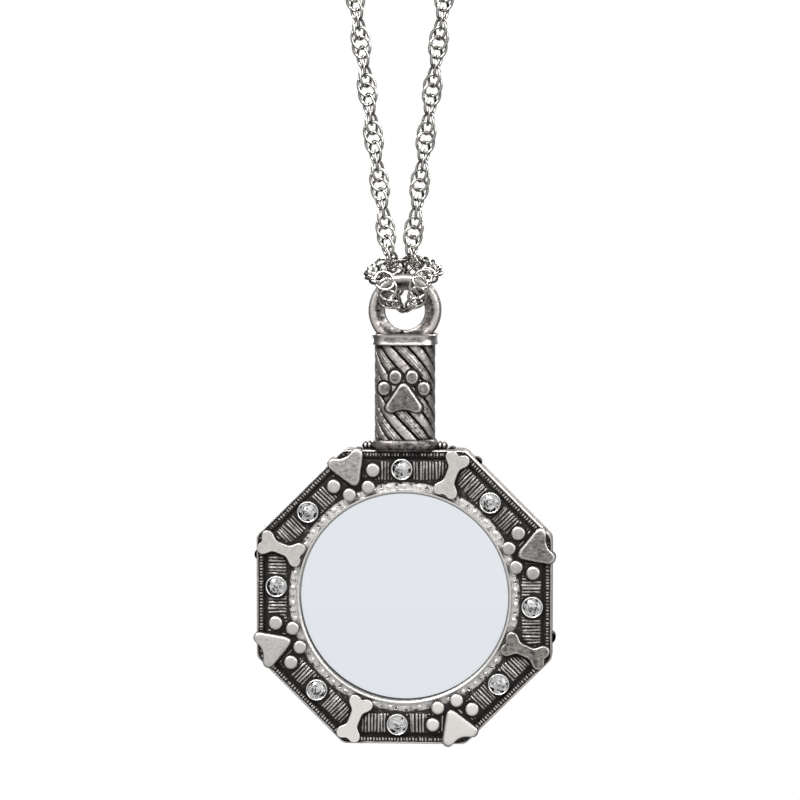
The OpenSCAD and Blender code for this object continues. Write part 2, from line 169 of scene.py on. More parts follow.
def pewter(name, dark, middle, bright, rough=0.3, brush=(0.7, 0.7, 6.0), streak=0.25, bias=0.0,
           fleck=0.32):
    """Pewter in three tones. brush is marks a millimetre each way; streak, bias and fleck say how
    strong the marks, a lightening all over and the blotches are"""
    made, tree = new_material(name)
    place = add(tree, "TexCoord").outputs["Object"]
    stretched = add(tree, "Mapping", Vector=place, Rotation=(0.3, 0.7, 0.5),
                    Scale=[count / MM for count in brush])
    marks = add(tree, "TexNoise", Vector=stretched, Scale=1.0, Detail=3.0)
    blotches = add(tree, "TexNoise", Vector=place, Scale=BLOTCHES_PER_MM / MM, Detail=4.0, Roughness=0.6)
    hollow = add(tree, "AmbientOcclusion", {"samples": 6}, Distance=CREVICE * MM)
    wear = add(tree, "Attribute", {"attribute_name": "worn"}).outputs["Fac"]
    for share, least, most in ((hollow.outputs["AO"], -1.0, 0.12),
                               (blotches, bias - fleck, bias + fleck), (marks, -streak, streak)):
        change = add(tree, "MapRange", Value=share, To_Min=least, To_Max=most)
        wear = add(tree, "Math", {"operation": "ADD"}, _0=wear, _1=change)
    clamped = add(tree, "Clamp", Value=wear)
    colour = add(tree, "ValToRGB", Fac=clamped, stops=[(0.28, dark), (0.6, middle), (0.95, bright)])
    # Painted sheen: where worn passes 1.25 the colour is mixed towards near white
    painted_sheen = add(tree, "MapRange", Value=wear, From_Min=PAINTED_SHEEN_START, From_Max=PAINTED_SHEEN_FULL)
    mixed = add(tree, "Mix", {"data_type": "RGBA"}, _0=painted_sheen, _6=colour, _7="#fcf9f4")
    metallic = add(tree, "MapRange", Value=clamped, To_Min=0.35, To_Max=1.0)
    blur = add(tree, "MapRange", Value=clamped, To_Min=0.62, To_Max=rough)
    bump = add(tree, "Bump", Strength=0.35, Distance=MARK_DEPTH * MM, Height=marks)
    shader = add(tree, "BsdfPrincipled", Base_Color=mixed.outputs[2], Normal=bump,
                 Metallic=metallic, Roughness=blur)
    add(tree, "OutputMaterial", Surface=shader)
    return made


worn_pewter = pewter("antiqued_pewter", "#1b1716", "#8e8986", "#dad5d3", fleck=0.5)
rough_pewter = pewter("blotched_pewter", "#1b1716", "#857f7b", "#d6d1cd", rough=0.42, fleck=0.85)
pad_pewter = pewter("brushed_pewter", "#1e1a19", "#8e8986", "#dedad7", rough=0.4,
                    brush=(1.5, 2.5, 6.0), streak=0.35)
toe_pewter = pewter("rubbed_pewter", "#2a2625", "#aca7a4", "#dcd8d4", rough=0.4, streak=0.2)
bone_pewter = pewter("flat_pewter", "#2a2624", "#aaa5a0", "#e2ded9", rough=0.42, streak=0.12)
lip_pewter = pewter("polished_pewter", "#3c3937", "#ccc9c6", "#e8e6e3", rough=0.4, streak=0.1, bias=0.1)

# %% [markdown]
# The chain is brass with a bright silver plate, tumbled until it is smooth, so it mirrors the room
# in hard black and white. Its colour is darkened between the links as painted shade. The lens is
# clear optical glass with a faint cool tint. A foiled stone has a glass crown over a silvered back,
# which throws the light out again in small shards.
# %% Silver plate, lens glass and foiled stones
FILM_PER_MM, LINK_SHADE_REACH = 0.9, 1.2


def silver_plate(name):
    made, tree = new_material(name)
    place = add(tree, "TexCoord").outputs["Object"]
    film = add(tree, "TexNoise", Vector=place, Scale=FILM_PER_MM / MM, Detail=2.0)
    # Painted shade: ambient occlusion darkens the plating where the links crowd each other
    hollow = add(tree, "AmbientOcclusion", {"samples": 4}, Distance=LINK_SHADE_REACH * MM)
    change = add(tree, "MapRange", Value=film, To_Min=-0.15, To_Max=0.15)
    depth = add(tree, "Math", {"operation": "ADD"}, _0=hollow.outputs["AO"], _1=change)
    tones = [(0.1, "#1e1b18"), (0.5, "#8e8b86"), (0.95, "#d0cdc8")]
    colour = add(tree, "ValToRGB", Fac=depth, stops=tones)
    blur = add(tree, "MapRange", Value=film, To_Min=0.1, To_Max=0.22)
    shader = add(tree, "BsdfPrincipled", Base_Color=colour, Metallic=1.0, Roughness=blur)
    add(tree, "OutputMaterial", Surface=shader)
    return made


def plain(name, **values):
    """A material that is the same all over"""
    made, tree = new_material(name)
    add(tree, "OutputMaterial", Surface=add(tree, "BsdfPrincipled", **values))
    return made


chain_silver = silver_plate("silver_plate")
lens_glass = plain("lens_glass", Base_Color="#e4e8ed", Roughness=0.0, IOR=1.5, Transmission_Weight=1.0)
crown_glass = plain("stone_glass", Base_Color="#ffffff", Roughness=0.0, IOR=1.56,
                    Transmission_Weight=1.0)
foil = plain("silver_foil", Base_Color="#eeeeee", Metallic=1.0, Roughness=0.01)
print("materials:", [m.name for m in bpy.data.materials])

# %% [markdown]
# ## Shapes as arrays
# A shape holds its points, its four-sided and three-sided faces and how worn each point is. Shapes
# are joined before they become an object, so that a thousand beads make one mesh. Most of them are
# skins over rows of points.
# %% Shapes and skins
def shape(points, quads=(), tris=(), worn=1.0):
    points = np.asarray(points, float).reshape(-1, 3)
    worn = np.broadcast_to(np.asarray(worn, float).reshape(-1), (len(points),))
    return {"points": points, "quads": np.asarray(quads, int).reshape(-1, 4),
            "tris": np.asarray(tris, int).reshape(-1, 3), "worn": worn.copy()}


def join(shapes):
    starts = np.cumsum([0] + [len(form["points"]) for form in shapes])
    return {key: np.concatenate([form[key] + (start if key in ("quads", "tris") else 0)
                                 for form, start in zip(shapes, starts)]) for key in shapes[0]}


def moved(form, shift=(0, 0, 0), matrix=np.eye(3)):
    return dict(form, points=form["points"] @ np.transpose(matrix) + shift)


def grid(points, worn=1.0, close_rows=False, close_columns=True):
    """A skin over rows and columns of points; worn is one value, one a row or one a point"""
    rows, columns = points.shape[:2]
    i, j = np.meshgrid(np.arange(rows if close_rows else rows - 1),
                       np.arange(columns if close_columns else columns - 1), indexing="ij")
    up, right = (i + 1) % rows, (j + 1) % columns
    quads = np.stack([i * columns + j, i * columns + right, up * columns + right,
                      up * columns + j], -1)
    worn = np.asarray(worn, float)
    if worn.size == rows:
        worn = np.repeat(worn, columns)
    return shape(points, quads, worn=worn)


# %% [markdown]
# Raised details are pillows: rings of one outline, drawn in and lifted step by step. Round ones are
# turned on a lathe. A modifier could bevel them, but here each ring has its own wear.
# %% Pillows, turned shapes and outlines
def full_turn(count):
    """Angles at even steps round a circle"""
    return np.linspace(0, 2 * math.pi, count, endpoint=False)


def raised(flat, level):
    """Flat points at a level"""
    return np.column_stack([flat, np.full(len(flat), level)])


def layers(steps, outline_at):
    """A skin over (size, level, worn) steps, with a function that gives the outline of a size"""
    rings = [raised(outline_at(size), level) for size, level, _ in steps]
    return grid(np.array(rings), [worn for _, _, worn in steps])


def pillow(outline, steps):
    """Rings of a flat outline, each at a share of its size and a level, closed in the middle"""
    middle = outline.mean(0)
    count = len(outline)
    skin = layers(steps, lambda share: middle + (outline - middle) * share)
    tip = len(skin["points"])
    last = tip - count
    fan = [[last + i, last + (i + 1) % count, tip] for i in range(count)]
    top = shape([[*middle, steps[-1][1]]], worn=steps[-1][2])
    return dict(join([skin, top]), tris=np.array(fan))


def lathe(profile, count):
    """Turn a profile of (radius, level, worn) rows about the level axis"""
    return layers(profile, lambda r: circle(r, count))


def circle(r, count, x=0.0, y=0.0):
    turn = full_turn(count)
    return np.column_stack([x + r * np.cos(turn), y + r * np.sin(turn)])


def run_of(points):
    """Distance along a line at each of its points"""
    return np.concatenate([[0], np.cumsum(np.linalg.norm(np.diff(points, axis=0), axis=1))])


def spaced(points, count, endpoint=True):
    """A line's points at even distances"""
    run = run_of(points)
    places = np.linspace(0, run[-1], count, endpoint=endpoint)
    return np.column_stack([np.interp(places, run, values) for values in points.T])


def smooth_loop(points, count, passes):
    """Space the points of a closed outline evenly and round its corners"""
    even = spaced(np.vstack([points, points[:1]]), count, endpoint=False)
    for _ in range(passes):
        even = (np.roll(even, 1, 0) + 2 * even + np.roll(even, -1, 0)) / 4
    return even


# %% [markdown]
# A face of the pendant is laid out flat and looked at from the front, with +y up and the level
# third. Both faces are the same, so each shape is made once and set on the front and on the back.
# %% Places on the faces
def set_out(form, angle, r):
    """Put a flat shape at an angle and distance from the middle, with its +y side outwards"""
    a = math.radians(angle - 90)
    spin = [[math.cos(a), -math.sin(a), 0], [math.sin(a), math.cos(a), 0], [0, 0, 1]]
    return moved(form, (-r * math.sin(a), r * math.cos(a), 0), spin)


TO_FRONT = [[1, 0, 0], [0, 0, -1], [0, 1, 0]]
TO_BACK = [[-1, 0, 0], [0, 0, 1], [0, 1, 0]]


def faces_of(form, middle=FRAME_AT):
    """The shape on the front and, turned half round the upright axis, on the back"""
    return join([moved(form, middle, TO_FRONT), moved(form, middle, TO_BACK)])


# %% [markdown]
# A finished shape becomes a named piece. It rides the body it belongs to, replaces the plain solid
# that stood in for it, and takes the finish it is given.
# %% From shape to piece
triangles = {}


def make_piece(name, form, material, body, slot, *nodes, sharp=40.0, extra=None):
    mesh = bpy.data.meshes.new(name)
    mesh.from_pydata((form["points"] * MM).tolist(), [], form["quads"].tolist() + form["tris"].tolist())
    mesh.attributes.new("worn", "FLOAT", "POINT").data.foreach_set("value", form["worn"])
    skin = bmesh.new()
    skin.from_mesh(mesh)
    bmesh.ops.recalc_face_normals(skin, faces=skin.faces)
    skin.to_mesh(mesh)
    skin.free()
    mesh.polygons.foreach_set("use_smooth", [sharp > 0] * len(mesh.polygons))
    if sharp > 0:
        mesh.set_sharp_from_angle(angle=math.radians(sharp))
    mesh.materials.append(material)
    if extra:
        mesh.materials.append(extra[0])
        mesh.polygons.foreach_set("material_index", extra[1])
    piece = bpy.data.objects.new(name, mesh)
    bpy.context.scene.collection.objects.link(piece)
    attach(piece, body)
    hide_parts(*nodes)
    triangles[name] = 2 * len(form["quads"]) + len(form["tris"])
    print(f"{name}: {triangles[name]} triangles")


def cast(name, form, material=worn_pewter, sharp=40.0):
    make_piece(name, form, material, "pendant", "pewter", "casting", sharp=sharp)


# Chance with a set start, the same on each run
rng = np.random.default_rng(11)

# %% [markdown]
# ## Frame
# The frame is a flat eight-sided casting with fine steps. It could be an extruded octagon with
# bevels, but a skin over 384 directions follows each step and says how worn it is. Rows named FLAT
# lie at a distance from the middle measured square to a side, and rows named ROUND at a radius.
# From the outside in come the smooth lip, the bed of the fine beading, the black groove, the band,
# the beads' channel, the smooth ring round the lens and the seat behind it.
# %% Frame plate
PLATE_STEPS = 384
FLAT, ROUND = "flat", "round"
PLATE = (
    (FLAT, APOTHEM, 0.0, 0.55), (FLAT, APOTHEM, RIM_TOP - 0.22, 0.6),
    (FLAT, APOTHEM - 0.08, RIM_TOP - 0.04, 0.9), (FLAT, APOTHEM - 0.2, RIM_TOP, 0.95),
    (FLAT, APOTHEM - 0.3, RIM_TOP - 0.08, 0.6), (FLAT, APOTHEM - 0.35, RIM_BED, 0.0),
    (FLAT, GROOVE_OUT + 0.2, RIM_BED, 0.0), (FLAT, GROOVE_OUT + 0.12, RIM_BED + 0.1, 0.7),
    (FLAT, GROOVE_OUT + 0.04, GROOVE_FLOOR + 0.15, 0.0), (FLAT, GROOVE_OUT, GROOVE_FLOOR, 0.0),
    (FLAT, GROOVE_IN, GROOVE_FLOOR, 0.0), (FLAT, GROOVE_IN - 0.04, PANEL_TOP - 0.05, 0.0),
    *((FLAT, size, PANEL_TOP, 0.15) for size in np.arange(PANEL_OUT, PANEL_STRAIGHT, -0.2)),
    *((ROUND, size, PANEL_TOP, 0.15) for size in (18.0, 17.8, 17.62)),
    (ROUND, 17.5, PANEL_TOP - 0.02, 0.1), (ROUND, CHANNEL_R, CHANNEL_FLOOR, 0.0),
)
LENS_RING = (
    (ROUND, CHANNEL_R, CHANNEL_FLOOR, 0.1), (ROUND, 17.2, 1.86, 0.6), (ROUND, 16.95, 1.9, 0.9),
    (ROUND, LENS_RING_OUT + 0.06, 1.94, 0.9), (ROUND, LENS_RING_OUT, 2.1, 0.8),
    (ROUND, LENS_RING_OUT - 0.03, LENS_RING_TOP - 0.12, 0.95),
    (ROUND, LENS_RING_OUT - 0.1, LENS_RING_TOP - 0.02, 1.0), (ROUND, 15.92, LENS_RING_TOP, 1.0),
    (ROUND, LENS_HOLE + 0.14, LENS_RING_TOP - 0.1, 1.0), (ROUND, LENS_HOLE + 0.03, 2.1, 0.5),
    # The hole's inner wall is kept at wear 0, dark, as painted shade in the gap beside the lens
    (ROUND, LENS_HOLE, 1.9, 0.0), (ROUND, LENS_HOLE, SEAT_HALF, 0.0),
    (ROUND, SEAT_R, SEAT_HALF, 0.3), (ROUND, SEAT_R, 0.0, 0.3),
)


def flat_factor(turn):
    """How much farther than a side's middle the edge is in this direction, with rounded corners"""
    off = (turn + math.pi / 8) % (math.pi / 4) - math.pi / 8
    return np.minimum(1 / np.cos(off), CORNER_REACH)


SEAT_WELL = 1.2
stone_turns = np.radians(STONE_ANGLES)
stone_places = STONE_CIRCLE * np.column_stack([np.cos(stone_turns), np.sin(stone_turns)])


def plate_half(profile):
    """The skin of one face, sunk under each stone so that its foot has room"""
    directions = circle(1.0, PLATE_STEPS)
    to_edge = {FLAT: flat_factor(full_turn(PLATE_STEPS))[:, None], ROUND: 1.0}
    rows = np.array([raised(size * to_edge[kind] * directions, level)
                     for kind, size, level, _ in profile])
    from_stone = np.linalg.norm(rows[:, :, None, :2] - stone_places, axis=3).min(2)
    levels = rows[:, :, 2]
    rows[:, :, 2] = np.where(from_stone < STONE_R, np.minimum(levels, SEAT_WELL), levels)
    return grid(rows, [row[3] for row in profile])


cast("frame_plate", faces_of(plate_half(PLATE)))
cast("lens_ring", faces_of(plate_half(LENS_RING)), lip_pewter)

# %% [markdown]
# ## Raised figures
# A paw's pad is a rounded triangle with a hollow broad edge, softly domed. Its four toes are domes.
# A bone is flat on top with a thin bright edge. Their outlines are kept, because the ribs of the
# panels stop short of them. The numbers in an outline are shares of the figure's width.
# %% Outlines of the figures
def arc(x, y, r, start, end, count=12):
    turn = np.radians(np.linspace(start, end, count))
    return np.column_stack([x + r * np.cos(turn), y + r * np.sin(turn)])


def pad_outline(w):
    corner = [arc(0.345, 0, 0.15, -34, 128), arc(0, 0.49, 0.45, -58, -122),
              arc(-0.345, 0, 0.15, 52, 214), arc(0, -0.62, 0.13, 206, 334)]
    return w * smooth_loop(np.vstack(corner), 72, 3)


def toe_outlines(w, outer=(0.545, -0.54, 0.18), inner=(0.26, -0.9, 0.175)):
    """Outer and inner pair of toes, from the place and radius of each pair"""
    return [circle(r * w, 20, side * x * w, y * w) for x, y, r in (outer, inner) for side in (-1, 1)]


BONE_POINTS = 96


def bone_half():
    """Right half of a bone's outline, from the notch at the top to the notch at the bottom"""
    r = BONE_W * 0.243
    x, y = BONE_W / 2 - r, BONE_LENGTH / 2 - r
    top = np.vstack([[[0, y + 0.45]], arc(x, y, r, 125, -48, 16), [[BONE_W * 0.215, y - 1.45]]])
    points = np.vstack([top, top[::-1] * [1, -1]])
    whole = smooth_loop(np.vstack([points, points[::-1] * [-1, 1]]), BONE_POINTS, 4)
    return whole[:BONE_POINTS // 2 + 1]


def turned_flat(points, angle, r):
    return set_out(shape(raised(points, 0)), angle, r)["points"][:, :2]


right_side = bone_half()
right_side[:, 0] = np.maximum(right_side[:, 0], 0)
bone_outline = np.vstack([right_side, right_side[-2:0:-1] * [-1, 1]])
outlines = [turned_flat(outline, angle, PAW_R) for angle in PAW_ANGLES
            for outline in [pad_outline(PAW_W)] + toe_outlines(PAW_W)]
outlines += [turned_flat(bone_outline, angle, BONE_R) for angle in BONE_ANGLES]
outlines += [turned_flat(circle(SETTING_R, 40), angle, STONE_CIRCLE) for angle in STONE_ANGLES]
print(len(outlines), "outlines on a face")

# %% [markdown]
# The tops follow what the hand that rubbed them left: a pad's edge falls away softly and its middle
# is a touch hollow, and a toe is a low dome. Each figure's wear also carries painted light: the lower
# figures are painted brightest, past 1.25 into the painted sheen, and the right ones darkest.
# %% Pads, toes and bones
def pad(outline, foot, top, middle):
    return pillow(outline, (
        (1.0, foot, 0.1), (1.0, top - 0.34, 0.3), (0.985, top - 0.2, 0.7), (0.95, top - 0.08, 0.98),
        (0.9, top - 0.01, 0.85), (0.78, top + 0.02, middle), (0.5, top + 0.03, middle),
        (0.25, top + 0.03, middle)))


def toe(outline, foot, top, middle):
    return pillow(outline, (
        (1.0, foot, 0.1), (1.0, top - 0.4, 0.3), (0.985, top - 0.24, 0.7), (0.94, top - 0.08, 1.0),
        (0.84, top, 0.95), (0.62, top + 0.03, middle), (0.3, top + 0.04, middle)))


def bone(middle):
    """Rings of the outline, drawn in by a little more each time, with strips across the top"""
    normal = np.roll(bone_outline, -1, 0) - np.roll(bone_outline, 1, 0)
    normal = np.column_stack([normal[:, 1], -normal[:, 0]])
    inward = normal / np.linalg.norm(normal, axis=1)[:, None]
    steps = ((0.0, 0.0, 0.1), (0.0, FIGURE_TOP - 0.3, 0.3), (0.02, FIGURE_TOP - 0.1, 0.9),
             (0.08, FIGURE_TOP - 0.01, 1.0), (0.16, FIGURE_TOP + 0.02, middle + 0.3),
             (0.26, FIGURE_TOP, middle))
    wall = layers(steps, lambda inset: bone_outline + inward * inset)
    last, half = wall["points"][-BONE_POINTS:], BONE_POINTS // 2
    right = last[:half + 1]
    left = np.vstack([last[:1], last[:half - 1:-1]])
    across = np.linspace(0, 1, 6)[:, None, None]
    top = grid(right * (1 - across) + left * across, middle, close_columns=False)
    return join([wall, top])


# Wear of each figure's top with painted light on it: brightest on the lower figures, darkest on the right
PAW_WEAR_AND_LIGHT, TOE_WEAR_AND_LIGHT = (0.6, 0.4, 1.7, 0.8), (0.75, 0.55, 1.6, 0.95)
BONE_WEAR_AND_LIGHT = (0.75, 0.3, 1.8, 0.75)
toes = [set_out(toe(outline, 0.0, FIGURE_TOP - 0.15, worn), angle, PAW_R)
        for angle, worn in zip(PAW_ANGLES, TOE_WEAR_AND_LIGHT) for outline in toe_outlines(PAW_W)]
pads = [set_out(pad(pad_outline(PAW_W), 0.0, FIGURE_TOP, worn), angle, PAW_R)
        for angle, worn in zip(PAW_ANGLES, PAW_WEAR_AND_LIGHT)]
bones = [set_out(bone(worn), angle, BONE_R) for angle, worn in zip(BONE_ANGLES, BONE_WEAR_AND_LIGHT)]
cast("paw_pads", faces_of(join(pads)), pad_pewter)
cast("paw_toes", faces_of(join(toes)), toe_pewter)
cast("bones", faces_of(join(bones)), bone_pewter)

# %% [markdown]
# ## Beading, ribs and beads
# Each side's outer edge carries fine upright bars, 0.46 mm apart. The panels between stones and
# figures are ribs square to the side, 0.48 mm apart, and each rib keeps the longest stretch that is
# clear of the figures. Round the lens runs a ring of long lumps and small beads. An array modifier
# would set them all alike, but a worn cast is uneven, so loops draw each one's size and place.
# %% Fine beading of the rim
def low_dome(half_x, half_y, height, count, foot, top):
    ring = circle(1.0, count) * [half_x, half_y]
    return pillow(ring, ((1.0, -0.06, foot), (0.92, height * 0.45, foot), (0.6, height * 0.86, top),
                         (0.25, height, top)))


def flat_bar(half_x, half_y, height, top):
    """A low bar with rounded ends and a flat, rubbed top"""
    return pillow(circle(1.0, 10) * [half_x, half_y],
                  ((1.0, -0.06, 0.0), (0.95, 0.7 * height, 0.4), (0.75, height, top), (0.3, height, top)))


def along_side(form, offset, distance, side):
    """Put a shape at an offset along a side and a distance out, with its +y side outwards"""
    return set_out(moved(form, (-offset, 0, 0)), 45 * side, distance)


# How much brighter each side is painted, as painted light strongest on the foot; from side 0 on the right
# round by the top; 6 is the foot
SIDE_LIGHT = (1, 1, 1, 1, 1, 1.15, 1.3, 1.15)
RIM_PITCH, RIM_BEAD_D = 0.46, 21.52
BAR_HALF, BAR_LONG, BAR_HIGH = 0.16, 0.3, 0.16
rim_beads = []
for side in range(8):
    half = RIM_BEAD_D * math.tan(math.pi / 8) - 0.2
    for offset in np.arange(-half, half, RIM_PITCH):
        size = rng.uniform(0.75, 1.15)
        # Random wear, times the side's painted light
        worn = rng.uniform(0.4, 1.0) * SIDE_LIGHT[side]
        bead = flat_bar(BAR_HALF, BAR_LONG * size, BAR_HIGH * size, worn)
        rim_beads.append(along_side(moved(bead, (0, 0, RIM_BED)), offset + rng.normal(0, 0.045),
                                    RIM_BEAD_D + rng.normal(0, 0.01), side))
cast("rim_beading", faces_of(join(rim_beads)))

# %% Ribs of the panels
def inside(points, polygon):
    """Which points lie inside a closed polygon"""
    following = np.roll(polygon, -1, 0)
    x, y = points[:, :1], points[:, 1:]
    rise = following[:, 1] - polygon[:, 1]
    crosses = (polygon[:, 1] > y) != (following[:, 1] > y)
    at = (following[:, 0] - polygon[:, 0]) * (y - polygon[:, 1]) / np.where(rise == 0, 1, rise)
    return (crosses & (x < at + polygon[:, 0])).sum(1) % 2 == 1


def is_clear(points, moat):
    """Which points are farther than the moat from every figure"""
    clear = np.ones(len(points), bool)
    for outline in outlines:
        gap = np.linalg.norm(points[:, None] - outline[None], axis=2).min(1)
        clear &= (gap > moat) & ~inside(points, outline)
    return clear


def longest_run(flags):
    """Length and start of the longest run of true flags"""
    best, start = (0, 0), None
    for i, flag in enumerate(list(flags) + [False]):
        if flag and start is None:
            start = i
        if not flag and start is not None:
            best, start = max(best, (i - start, start)), None
    return best


RIB_PITCH, RIB_HALF, RIB_HIGH = 0.48, 0.2, 0.2
RIB_MOAT, RIB_ROWS, RIB_SPAN = 0.2, 26, 8.2
RIB_PLACES = np.linspace(PANEL_IN, PANEL_OUT, RIB_ROWS)
profile = np.array([(-RIB_HALF, -0.05, 0.0), (-0.15, 0.14, 0.4), (-0.06, RIB_HIGH, 0.65),
                    (0.06, RIB_HIGH, 0.65), (0.15, 0.14, 0.4), (RIB_HALF, -0.05, 0.0)])
rib_line = shape([(0, place, 0) for place in RIB_PLACES])
ribs = []
for side in range(8):
    for offset in np.arange(-RIB_SPAN, RIB_SPAN + 0.1, RIB_PITCH):
        on_side = along_side(rib_line, offset, 0, side)["points"][:, :2]
        count, start = longest_run(is_clear(on_side, RIB_MOAT))
        if count < 4:
            continue
        low = RIB_PLACES[start] + rng.uniform(0, 0.12)
        high = RIB_PLACES[start + count - 1] - rng.uniform(0, 0.12)
        ends = np.array([low, low + 0.08, low + 0.2, (low + high) / 2, high - 0.2, high - 0.08, high])
        lift = np.array([0, 0.75, 1, 1, 1, 0.75, 0])[:, None]
        tall = rng.uniform(0.75, 1.15)
        lean = rng.normal(0, 0.03) * (ends - ends[3])[:, None]
        rows = np.stack([profile[:, 0] + rng.normal(0, 0.04) + lean,
                         np.broadcast_to(ends[:, None], (len(ends), len(profile))),
                         PANEL_TOP - 0.05 * (1 - lift) + profile[:, 1] * lift * tall], -1)
        # The rib's wear, times its side's painted light
        worn = (profile[:, 2] * lift * rng.uniform(0.7, 1.15) * SIDE_LIGHT[side]).reshape(-1)
        ribs.append(along_side(grid(rows, worn, close_columns=False), offset, 0, side))
cast("panel_ribs", faces_of(join(ribs)), sharp=30)

# %% Ring of beads round the lens
def pitted_bead(r, height, pit):
    """A small round bead with a pit left by the casting in its top"""
    return pillow(circle(r, 12), (
        (1.0, -0.06, 0.5), (0.9, height * 0.6, 0.9), (0.65, height, 1.0),
        (pit * 1.35, height * 0.95, 1.0), (pit, height * 0.7, 0.0), (pit * 0.4, height * 0.6, 0.0)))


BEADS, BEAD_FLOOR = 46, 1.88
lumps = []
for i in range(BEADS):
    angle = 360 / BEADS * i + rng.normal(0, 0.3)
    bead = pitted_bead(0.34 * rng.uniform(0.85, 1.15), 0.32 * rng.uniform(0.8, 1.15),
                       rng.uniform(0.3, 0.42))
    swell = low_dome(0.5 * rng.uniform(0.7, 1.1), 0.42 * rng.uniform(0.8, 1.05),
                     0.22 * rng.uniform(0.6, 1.2), 12, 0.7, rng.uniform(0.85, 1.0))
    hollow = low_dome(0.3 * rng.uniform(0.6, 1.3), 0.2 * rng.uniform(0.6, 1.2), 0.03, 8, 0.0, 0.0)
    lumps.append(set_out(moved(bead, (0, 0, BEAD_FLOOR)), angle, BEAD_R + rng.normal(0, 0.07)))
    lumps.append(set_out(moved(swell, (0, 0, BEAD_FLOOR - 0.02)), angle + 180 / BEADS, BEAD_R - 0.08))
    lumps.append(set_out(moved(hollow, (0, 0, BEAD_FLOOR)), angle + rng.choice([0.3, 0.7]) * 360 / BEADS,
                         BEAD_R + 0.38 + rng.normal(0, 0.05)))
cast("bead_ring", faces_of(join(lumps)), lip_pewter)

# %% [markdown]
# ## Stones in their settings
# Each stone sits in a thin round collar whose edge is rubbed bright. It is cut as a full brilliant:
# a table, star, kite and half facets above, and long pavilion facets below, which are foiled.
# %% Settings and stones
setting = lathe((
    (SETTING_R + 0.04, 0.0, 0.1), (SETTING_R + 0.02, 2.3, 0.3), (SETTING_R, 2.62, 0.8),
    (SETTING_R - 0.04, SETTING_TOP, 1.0), (SETTING_R - 0.12, SETTING_TOP + 0.03, 1.0),
    (SETTING_R - 0.2, SETTING_TOP - 0.02, 0.95), (STONE_R + 0.02, 2.6, 0.6), (STONE_R + 0.02, 1.9, 0.1),
), 48)
cast("stone_settings", faces_of(join([set_out(setting, a, STONE_CIRCLE) for a in STONE_ANGLES])),
     lip_pewter)


def brilliant():
    """Round brilliant with its table upwards, its pavilion as uneven as in a cheap moulded stone"""
    def ring(r, level, start, count=8, uneven=0.0):
        turn = np.radians(start + np.arange(count) * 360 / count)
        levels = level + rng.uniform(-uneven, uneven, count)
        return np.column_stack([r * np.cos(turn), r * np.sin(turn), levels])
    edge, flat, kites = 0.1, 0.55, 0.8
    crown = STONE_TOP - GIRDLE - edge
    table, mids, upper, lower, outer, inner = 0, 8, 16, 32, 48, 64
    points = np.vstack([
        ring(STONE_R * flat, STONE_TOP, 0), ring(STONE_R * kites, GIRDLE + edge + crown * 0.56, 22.5),
        ring(STONE_R, GIRDLE + edge, 0, 16), ring(STONE_R, GIRDLE, 0, 16),
        ring(STONE_R * 0.62, GIRDLE - 0.38, 11.25, 16, 0.1),
        ring(STONE_R * 0.28, GIRDLE - 0.75, 22.5, 8, 0.08),
        [[0, 0, STONE_FOOT], [0, 0, STONE_TOP]]])
    foot, middle = len(points) - 2, len(points) - 1
    crown_tris, back_tris = [], []
    for k in range(8):
        n, p = (k + 1) % 8, (k + 7) % 8
        g = [upper + 2 * k, upper + 2 * k + 1, upper + 2 * n]
        crown_tris += [[table + k, table + n, middle], [table + k, table + n, mids + k],
                       [mids + k, g[0], g[1]], [mids + k, g[1], g[2]],
                       [table + k, mids + k, g[0]], [table + k, g[0], mids + p]]
        back_tris += [[outer + 2 * k, outer + 2 * k + 1, inner + k],
                      [outer + 2 * k + 1, outer + 2 * n, inner + k],
                      [outer + 2 * n, inner + n, inner + k], [inner + k, inner + n, foot]]
    for k in range(16):
        n = (k + 1) % 16
        crown_tris += [[upper + k, upper + n, lower + n], [upper + k, lower + n, lower + k]]
        back_tris += [[lower + k, lower + n, outer + k], [lower + n, outer + n, outer + k]]
    foiled = [0] * len(crown_tris) + [1] * len(back_tris)
    return shape(points, tris=crown_tris + back_tris), foiled


for face, matrix in (("front", TO_FRONT), ("back", TO_BACK)):
    for i, angle in enumerate(STONE_ANGLES):
        gem, foiled = brilliant()
        spun = set_out(gem, 90 + math.degrees(i), 0)
        placed = moved(set_out(spun, angle, STONE_CIRCLE), FRAME_AT, matrix)
        make_piece(f"cut_{face}_{i + 1}", placed, crown_glass, "pendant", "stone_glass",
                   f"stone_{face}_{i + 1}", sharp=0, extra=(foil, foiled))

# %% [markdown]
# ## Lens
# Both faces are shallow domes of one ball, and the edge is ground flat and sits in the frame. Two
# cut balls would do, but turned rings can lie closer near the edge, where glass bends light most.
# %% Lens
LENS_RINGS, LENS_STEPS = 26, 160
lens_ball = (LENS_R ** 2 + LENS_DOME ** 2) / (2 * LENS_DOME)
lens_rows = []
for share in np.linspace(0, 1, LENS_RINGS):
    r = LENS_R * math.sin(share * math.pi / 2)
    level = LENS_EDGE_HALF + LENS_DOME - lens_ball + math.sqrt(lens_ball ** 2 - r ** 2)
    lens_rows.append((r, level, 1.0))
lens = lathe(lens_rows[1:] + [(r, -level, worn) for r, level, worn in lens_rows[:0:-1]], LENS_STEPS)
front_tip = len(lens["points"])
tips = shape([[0, 0, LENS_EDGE_HALF + LENS_DOME], [0, 0, -LENS_EDGE_HALF - LENS_DOME]])
last_ring = front_tip - LENS_STEPS
fans = [[i, (i + 1) % LENS_STEPS, front_tip] for i in range(LENS_STEPS)]
fans += [[last_ring + after, last_ring + i, front_tip + 1] for i, after, _ in fans]
lens = dict(join([lens, tips]), tris=np.array(fans))
make_piece("lens_disc", moved(lens, FRAME_AT, TO_FRONT), lens_glass, "pendant", "lens_glass", "lens")

